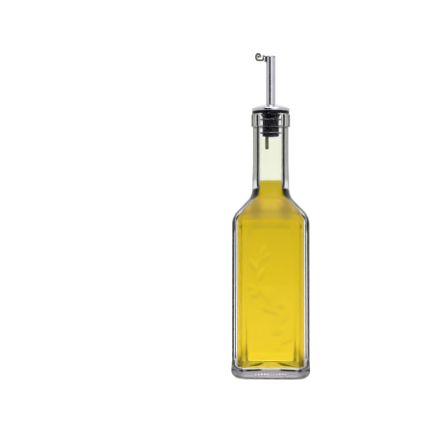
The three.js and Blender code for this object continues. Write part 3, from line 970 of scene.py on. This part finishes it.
stipples = modified(
    "heel_stipples",
    tree,
    {
        "Count": STIPPLE_COUNT,
        "First place": -STIPPLE_SPACING * (STIPPLE_COUNT - 1) / 2 * MM,
        "Spacing": STIPPLE_SPACING * MM,
        "Reach": STIPPLE_REACH * MM,
        "Height": STIPPLE_HEIGHT * MM,
        "Point radius": STIPPLE_RADIUS * MM,
    },
)
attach(stipples, "bottle")

# Cap.
# A polished steel dome pressed over the stopper's flange, with the pour tube through its middle. Its edge
# turns down round the stopper's head, and its sheet shows at the rim.
CAP_HEM = 0.6
CAP_HEM_ROUND = 0.3
CAP_EDGE_ROUND = 1
CAP_EDGE_DROP = 0.1
CAP_HOLE_ROUND = 0.2
CAP_HOLE_DEPTH = 0.3
CAP_SHARES = (0.88, 0.8, 0.7, 0.6, 0.5, 0.4)
CAP_SIDES = 192
CAP_LINING_SHARES = (0.4, 0.6, 0.8, CAP_BEND_SHARE)
STEEL_TINTS = ((0.40, 0.39, 0.43), (0.50, 0.49, 0.53))
STEEL_SMUDGE_SCALE = 90
STEEL_LINE_SCALES = (900, 900, 60)
STEEL_LINE_STRENGTH = 0.02
STEEL_LINE_DEPTH = 0.02

cap = turned(
    "steel_cap",
    outline(
        [
            (bore, dome_height(bore, CAP_CROWN - CAP_SHEET)),
            *(
                (CAP_RADIUS * t, dome_height(CAP_RADIUS * t, CAP_CROWN - CAP_SHEET))
                for t in CAP_LINING_SHARES
            ),
            (CAP_RADIUS - CAP_SHEET, CAP_BOTTOM + CAP_HEM),
            (CAP_RADIUS - CAP_SHEET, CAP_BOTTOM),
            (CAP_RADIUS, CAP_BOTTOM, CAP_HEM_ROUND),
            (CAP_RADIUS, CAP_EDGE - CAP_EDGE_DROP, CAP_EDGE_ROUND),
            *((CAP_RADIUS * t, dome_height(CAP_RADIUS * t, CAP_CROWN)) for t in CAP_SHARES),
            (bore, dome_height(bore, CAP_CROWN), CAP_HOLE_ROUND),
            (bore, dome_height(bore, CAP_CROWN) - CAP_HOLE_DEPTH),
        ]
    ),
    CAP_SIDES,
)
steel_finish, shader, wire = new_material("polished_steel")
place = wire.place()
stretched = wire.node("ShaderNodeMapping", inputs={"Vector": place, "Scale": STEEL_LINE_SCALES})
lines = stretched.noise(1, 2)
handled = place.noise(STEEL_SMUDGE_SCALE, 3)
set_sockets(
    shader,
    {
        "Base Color": handled.pick(*STEEL_TINTS),
        "Metallic": 1.0,
        "Roughness": 0.10 + 0.10 * handled + 0.04 * lines,
        "Normal": lines.bump(STEEL_LINE_STRENGTH, STEEL_LINE_DEPTH),
    },
)
cap.data.materials.append(steel_finish)
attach(cap, "bottle")
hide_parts("cap_dome")

# Pour tube, its end plate and the air tube.
# A straight steel tube pressed through the cap and the stopper, with a round outlet drilled in its left
# side near the top. A plate with a lug for the hinge shuts its end, and a thin tube lets the air in.
TUBE_WALL = 0.45
TUBE_TOP = 276.05
OUTLET_HEIGHT = 274.55
OUTLET_BORE = 1.2
DRILL_START = -7
DRILL_END = -1
ON_AXIS = 0.001
TUBE_ROUND = 0.12
TUBE_SIDES = 96
AIR_TUBE_UPPER_X = -2
AIR_TUBE_LOWER_X = -3.25
AIR_TUBE_BEND_TOP = 211.9
AIR_TUBE_BEND_BOTTOM = 208.8
AIR_TUBE_RADIUS = 1.5
AIR_TUBE_BORE = 1.15
AIR_TUBE_BOTTOM = 196.2
AIR_TUBE_TOP = 260
AIR_TUBE_ROUND = 0.1
AIR_TUBE_BEND_ROWS = 9
SMALL_SIDES = 48
# Painted shade: the air tube's steel is darkened nearly to black, standing for the dark surroundings it
# mirrors in the neck.
AIR_TUBE_PAINTED_SHADE_TINTS = ((0.06, 0.06, 0.055), (0.13, 0.13, 0.12))
DARK_TUBE_WEAR_SCALE = 400
SATIN_TINTS = ((0.20, 0.20, 0.20), (0.30, 0.295, 0.31))
SATIN_BRUSH_SCALE = 500

tube = turned(
    "steel_tube",
    outline(
        [
            (TUBE_RADIUS - TUBE_WALL, STOPPER_CAVITY_TOP),
            (TUBE_RADIUS, STOPPER_CAVITY_TOP, TUBE_ROUND),
            (TUBE_RADIUS, TUBE_TOP, TUBE_ROUND),
            (TUBE_RADIUS - TUBE_WALL, TUBE_TOP),
        ]
    ),
    TUBE_SIDES,
)
drill = turned(
    "drill",
    [
        (ON_AXIS, DRILL_START),
        (OUTLET_BORE, DRILL_START),
        (OUTLET_BORE, DRILL_END),
        (ON_AXIS, DRILL_END),
    ],
    SMALL_SIDES,
    "X",
    (0, 0, OUTLET_HEIGHT),
)
cut = tube.modifiers.new("outlet", "BOOLEAN")
cut.object = drill
cut.operation = "DIFFERENCE"
cut.solver = "EXACT"
bpy.context.view_layer.update()
drilled = bpy.data.meshes.new_from_object(
    tube.evaluated_get(bpy.context.evaluated_depsgraph_get())
)
tube.modifiers.clear()
tube.data = drilled
tube.data.shade_smooth()
tube.data.set_sharp_from_angle(angle=math.radians(SHARP_EDGE))
bpy.data.objects.remove(drill)
tube.data.materials.clear()
tube.data.materials.append(steel_finish)
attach(tube, "bottle")
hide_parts("pour_tube")

bend_stations = np.linspace(AIR_TUBE_BEND_BOTTOM, AIR_TUBE_BEND_TOP, AIR_TUBE_BEND_ROWS).tolist()
air_tube = turned(
    "thin_air_tube",
    outline(
        [
            (AIR_TUBE_BORE, AIR_TUBE_BOTTOM),
            (AIR_TUBE_RADIUS, AIR_TUBE_BOTTOM, AIR_TUBE_ROUND),
            *((AIR_TUBE_RADIUS, z) for z in bend_stations),
            (AIR_TUBE_RADIUS, AIR_TUBE_TOP, AIR_TUBE_ROUND),
            (AIR_TUBE_BORE, AIR_TUBE_TOP),
            *((AIR_TUBE_BORE, z) for z in reversed(bend_stations)),
        ]
    ),
    SMALL_SIDES,
)
for vertex in air_tube.data.vertices:
    rise = smooth(vertex.co.z / MM, AIR_TUBE_BEND_BOTTOM, AIR_TUBE_BEND_TOP)
    vertex.co.x += (AIR_TUBE_LOWER_X + (AIR_TUBE_UPPER_X - AIR_TUBE_LOWER_X) * rise) * MM
# Painted shade: steel darkened nearly to black, with a faint random wear.
air_tube_shade_finish, shader, wire = new_material("air_tube_painted_shade")
worn = wire.place().noise(DARK_TUBE_WEAR_SCALE, 2)
set_sockets(
    shader,
    {
        "Base Color": worn.pick(*AIR_TUBE_PAINTED_SHADE_TINTS),
        "Metallic": 1.0,
        "Roughness": 0.25 + 0.15 * worn,
    },
)
air_tube.data.materials.append(air_tube_shade_finish)
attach(air_tube, "bottle")
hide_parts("air_tube")

satin_finish, shader, wire = new_material("satin_steel")
brushed = wire.place().noise(SATIN_BRUSH_SCALE, 2)
set_sockets(
    shader,
    {
        "Base Color": brushed.pick(*SATIN_TINTS),
        "Metallic": 1.0,
        "Roughness": 0.3 + 0.15 * brushed,
    },
)
kept = (("tube_end_plate", satin_finish), ("hinge_pin", satin_finish), ("outlet_seal", black_finish))
for name, finish in kept:
    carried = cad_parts[name]
    carried.data.materials.clear()
    carried.data.materials.append(finish)

# Flap.
# A round steel flap hangs from a pin in front of the outlet and shuts it by the weight of a roller. Its
# strap runs out from the flap and curls up round the roller.
HINGE = Vector((-6.05, 276.95))
PIN_HOLE_RADIUS = 0.5
KNUCKLE_RADIUS = 1.0
KNUCKLE_INNER = 1.05
KNUCKLE_OUTER = 2.1
FLAP_RADIUS = 2.6
FLAP_FACE = -5.05
FLAP_THICKNESS = 0.85
NOTCH_BOTTOM = 275.8
STRAP_HALF_WIDTH = 1.9
STRAP_THICKNESS = 1.4
STRAP_X = -6.4
STRAP_TOP = 275.8
STRAP_BEND = 0.9
CURL_CENTRE = Vector((-10.86, 276.4))
CURL_HALF_WIDTH = 2.0
CURL_HALF_HEIGHT = 2.79
CURL_SWEEP = 275
CURL_STEPS = 60
DISC_STEPS = 64
KNUCKLE_SIDES = 40
EAR_HEIGHT = 1
EAR_CLEARANCE = 0.05
ROLLER_CENTRE = Vector((-10.86, 276.55))
ROLLER_RADIUS = 1.45
ROLLER_HALF_LENGTH = 2.15
ROLLER_ROUND = 0.35
ROLLER_RIM_RADIUS = 1.1
ROLLER_START = 0.02
ROLLER_SIDES = 64
DIMPLE_RADIUS = 0.9
DIMPLE_DEPTH = 0.35
DIMPLE_ROUND = 0.1
EDGE_ROUND = 0.18
FLAP_EDGE_ROUND = 0.12
FLAP_EDGE_ANGLE = 60
STRAP_ARC_STEP = 8
EDGE_ARC_STEP = 30
# Painted shade: the strap, knuckles and ears are darkened steel, standing for the dark surroundings they
# mirror.
STRAP_PAINTED_SHADE_TINTS = ((0.06, 0.06, 0.05), (0.15, 0.148, 0.13))
DULL_RUB_SCALE = 300

strap_height = CURL_CENTRE.y - CURL_HALF_HEIGHT
strap_line = path(
    [(STRAP_X, STRAP_TOP), (STRAP_X, strap_height, STRAP_BEND), (CURL_CENTRE.x, strap_height)],
    STRAP_ARC_STEP,
)
for i in range(1, CURL_STEPS + 1):
    a = math.radians(-90 - CURL_SWEEP * i / CURL_STEPS)
    reach = Vector((CURL_HALF_WIDTH * math.cos(a), CURL_HALF_HEIGHT * math.sin(a)))
    strap_line.append(CURL_CENTRE + reach)
half_thick = STRAP_THICKNESS / 2
section = path(
    [
        (-STRAP_HALF_WIDTH, 0),
        (-STRAP_HALF_WIDTH, -half_thick, EDGE_ROUND),
        (STRAP_HALF_WIDTH, -half_thick, EDGE_ROUND),
        (STRAP_HALF_WIDTH, half_thick, EDGE_ROUND),
        (-STRAP_HALF_WIDTH, half_thick, EDGE_ROUND),
        (-STRAP_HALF_WIDTH, 0),
    ],
    EDGE_ARC_STEP,
)[:-1]
strap_points = []
for i, at in enumerate(strap_line):
    along = (strap_line[min(i + 1, len(strap_line) - 1)] - strap_line[max(i - 1, 0)]).normalized()
    for across, off in section:
        strap_points.append((at.x - along.y * off, across, at.y + along.x * off))
count = len(section)
strap_faces = [tuple(range(count))]
for i in range(len(strap_line) - 1):
    for k in range(count):
        m = (k + 1) % count
        strap_faces.append(
            (i * count + k, (i + 1) * count + k, (i + 1) * count + m, i * count + m)
        )
strap_faces.append(tuple(range(len(strap_points) - 1, len(strap_points) - 1 - count, -1)))
strap = solid("strap", np.array(strap_points) * MM, strap_faces)

disc_outline = []
edge_angle = math.acos(KNUCKLE_INNER / FLAP_RADIUS)
for i in range(DISC_STEPS + 1):
    a = math.pi - edge_angle + (math.pi + 2 * edge_angle) * i / DISC_STEPS
    disc_outline.append((FLAP_RADIUS * math.cos(a), OUTLET_HEIGHT + FLAP_RADIUS * math.sin(a)))
disc_outline.append((KNUCKLE_INNER, NOTCH_BOTTOM))
disc_outline.append((-KNUCKLE_INNER, NOTCH_BOTTOM))
disc_points = [(x, y, z) for x in (FLAP_FACE - FLAP_THICKNESS, FLAP_FACE) for y, z in disc_outline]
count = len(disc_outline)
disc_faces = [tuple(range(count - 1, -1, -1)), tuple(range(count, 2 * count))]
for k in range(count):
    m = (k + 1) % count
    disc_faces.append((k, m, count + m, count + k))
disc = solid("disc", np.array(disc_points) * MM, disc_faces)

knuckles = [
    turned(
        "knuckle",
        outline(
            [
                (PIN_HOLE_RADIUS, low),
                (KNUCKLE_RADIUS, low, EDGE_ROUND),
                (KNUCKLE_RADIUS, low + KNUCKLE_OUTER - KNUCKLE_INNER, EDGE_ROUND),
                (PIN_HOLE_RADIUS, low + KNUCKLE_OUTER - KNUCKLE_INNER),
            ]
        ),
        KNUCKLE_SIDES,
        "Y",
        (HINGE.x, 0, HINGE.y),
    )
    for low in (KNUCKLE_INNER, -KNUCKLE_OUTER)
]


def joined(name, parts):
    """One object from several overlapping ones."""
    with bpy.context.temp_override(
        active_object=parts[0], object=parts[0], selected_editable_objects=parts
    ):
        bpy.ops.object.join()
    parts[0].name = name
    parts[0].data.name = name
    return parts[0]


ears = []
ear_top = HINGE.y - PIN_HOLE_RADIUS - EAR_CLEARANCE
for side in (-1, 1):
    corners = [
        (x, side * y, z)
        for x in (STRAP_X - half_thick, STRAP_X + half_thick)
        for y in (KNUCKLE_INNER, STRAP_HALF_WIDTH)
        for z in (STRAP_TOP - EAR_HEIGHT, ear_top)
    ]
    ear_faces = [(0, 1, 3, 2), (4, 6, 7, 5), (0, 4, 5, 1), (2, 3, 7, 6), (0, 2, 6, 4), (1, 5, 7, 3)]
    if side < 0:
        ear_faces = [face[::-1] for face in ear_faces]
    ears.append(solid("ear", np.array(corners) * MM, ear_faces))

# Painted shade: steel darkened to stand for dark reflections, with random rubbing.
strap_shade_finish, shader, wire = new_material("strap_steel_painted_shade")
rubbed = wire.place().noise(DULL_RUB_SCALE, 3)
set_sockets(
    shader,
    {
        "Base Color": rubbed.pick(*STRAP_PAINTED_SHADE_TINTS),
        "Metallic": 1.0,
        "Roughness": 0.2 + 0.16 * rubbed,
    },
)
disc.data.materials.append(steel_finish)
for piece in (strap, *knuckles, *ears):
    piece.data.materials.append(strap_shade_finish)
flap = joined("weighted_flap", [disc, strap, *knuckles, *ears])
rounding = flap.modifiers.new("rounding", "BEVEL")
rounding.width = FLAP_EDGE_ROUND * MM
rounding.segments = 2
rounding.limit_method = "ANGLE"
rounding.angle_limit = math.radians(FLAP_EDGE_ANGLE)
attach(flap, "flap")
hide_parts("flap")

half_roller = [
    (ROLLER_START, ROLLER_HALF_LENGTH - DIMPLE_DEPTH),
    (DIMPLE_RADIUS, ROLLER_HALF_LENGTH - DIMPLE_DEPTH, DIMPLE_ROUND),
    (ROLLER_RIM_RADIUS, ROLLER_HALF_LENGTH, DIMPLE_ROUND),
    (ROLLER_RADIUS, ROLLER_HALF_LENGTH, ROLLER_ROUND),
]
other_half = [(radius, -along, *rest) for radius, along, *rest in half_roller]
roller = turned(
    "flap_weight",
    outline(other_half + half_roller[::-1]),
    ROLLER_SIDES,
    "Y",
    (ROLLER_CENTRE.x, 0, ROLLER_CENTRE.y),
)
roller.data.materials.append(steel_finish)
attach(roller, "flap")
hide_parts("flap_roller")

# Studio.
# A white floor in a white room. The light through the glass meets two dark cards behind the bottle, which
# draw its dark lines and reach below the floor, so it sees only the floor near the bottle. The other two
# cards are only mirrored, and draw the lines of the steel.
FLOOR_START = 0.01
FLOOR_SEEN_THROUGH = 120
FLOOR_EDGE = 30000
FLOOR_DEPTH = 10
FLOOR_SIDES = 64


def floor_ring(name, inner, outer):
    """A flat ring of floor round the bottle, with its top at the height of the bottle's base."""
    return turned(name, [(inner, 0), (outer, 0), (outer, -FLOOR_DEPTH), (inner, -FLOOR_DEPTH)], FLOOR_SIDES)


floor = floor_ring("floor", FLOOR_START, FLOOR_SEEN_THROUGH)
surround = floor_ring("surround", FLOOR_SEEN_THROUGH, FLOOR_EDGE)
surround.visible_transmission = False
floor_finish, shader, _ = new_material("white_floor")
set_sockets(shader, {"Base Color": (0.93, 0.93, 0.93), "Roughness": 0.9, "Specular IOR Level": 0.1})
for piece in (floor, surround):
    piece.data.materials.append(floor_finish)

CARD_DISTANCE = 1300
CARD_COLUMNS = 12
CARD_BOTTOM = -150
CARD_GLOW = 1.8
dark_card, shader, _ = new_material("dark_card")
set_sockets(shader, {"Base Color": (0.008, 0.008, 0.008), "Roughness": 1.0, "Specular IOR Level": 0.0})
light_card, shader, _ = new_material("light_card")
set_sockets(
    shader, {"Base Color": (0, 0, 0), "Emission Color": (1.0, 0.98, 1.0), "Emission Strength": CARD_GLOW}
)
cards = (
    ("right", 34.5, 66, 1100, dark_card, False),
    ("left", -66, -34.5, 1100, dark_card, False),
    ("front", 177, 221, 800, dark_card, True),
    ("bright", 140, 168, 800, light_card, True),
)
for name, first, last, top, finish, for_steel in cards:
    bearings = np.radians(np.linspace(first, last, CARD_COLUMNS))
    arc = np.stack([np.sin(bearings), np.cos(bearings), np.zeros(CARD_COLUMNS)], 1) * CARD_DISTANCE
    corners = np.concatenate([arc + (0, 0, CARD_BOTTOM), arc + (0, 0, top)])
    faces = [(k, k + 1, k + 1 + CARD_COLUMNS, k + CARD_COLUMNS) for k in range(CARD_COLUMNS - 1)]
    card = solid(f"card_{name}", corners * MM, faces)
    card.data.materials.append(finish)
    card.visible_camera = False
    card.visible_diffuse = False
    card.visible_shadow = False
    card.visible_glossy = for_steel
    card.visible_transmission = not for_steel

WALL_LIGHT = (1.03, 1.03, 1.03)
CEILING_LIGHT = (1.3, 1.3, 1.3)
CEILING_SLOPES = (0.3, 0.5)
SEEN_WALL_LIGHT = (1.05, 1.05, 1.05)
SEEN_LOW_LIGHT = (1.4, 1.4, 1.4)
SEEN_LOW_SLOPES = (-0.11, 0.02)
SEEN_CEILING_LIGHT = (0.08, 0.08, 0.08)
SEEN_CEILING_SLOPES = (0.42, 0.66)

world = bpy.data.worlds.new("studio")
bpy.context.scene.world = world
world.use_nodes = True
background = world.node_tree.nodes["Background"]
wire = Wire(world.node_tree)
direction = wire.node("ShaderNodeTexCoord", output=0)
up = wire.node("ShaderNodeSeparateXYZ", inputs={0: direction}, output=2)
to_camera = wire.node("ShaderNodeLightPath", output=0)
through = wire.node("ShaderNodeLightPath", output=6)
room = (up.between(*CEILING_SLOPES) * (1 - to_camera)).pick(WALL_LIGHT, CEILING_LIGHT)
low = 1 - up.between(*SEEN_LOW_SLOPES)
behind = up.between(*SEEN_CEILING_SLOPES).pick(low.pick(SEEN_WALL_LIGHT, SEEN_LOW_LIGHT), SEEN_CEILING_LIGHT)
room = through.pick(room, behind)
world.node_tree.links.new(room.socket, background.inputs["Color"])
background.inputs["Strength"].default_value = 1.0

SOFTBOX_SIZE = (2.0, 1.2)
SOFTBOX_WATTS = 24
SOFTBOX_PLACE = Vector((0.2, -1.0, 1.5))
SOFTBOX_AIM = Vector((0, 0, 0.15))

softbox_data = bpy.data.lights.new("softbox", "AREA")
softbox_data.shape = "RECTANGLE"
softbox_data.size, softbox_data.size_y = SOFTBOX_SIZE
softbox_data.energy = SOFTBOX_WATTS
softbox = bpy.data.objects.new("softbox", softbox_data)
bpy.context.scene.collection.objects.link(softbox)
softbox.location = SOFTBOX_PLACE
softbox.rotation_euler = (SOFTBOX_AIM - SOFTBOX_PLACE).to_track_quat("-Z", "Y").to_euler()
softbox.visible_camera = False

bpy.context.scene.view_settings.view_transform = "Standard"
bpy.context.scene.view_settings.look = "None"
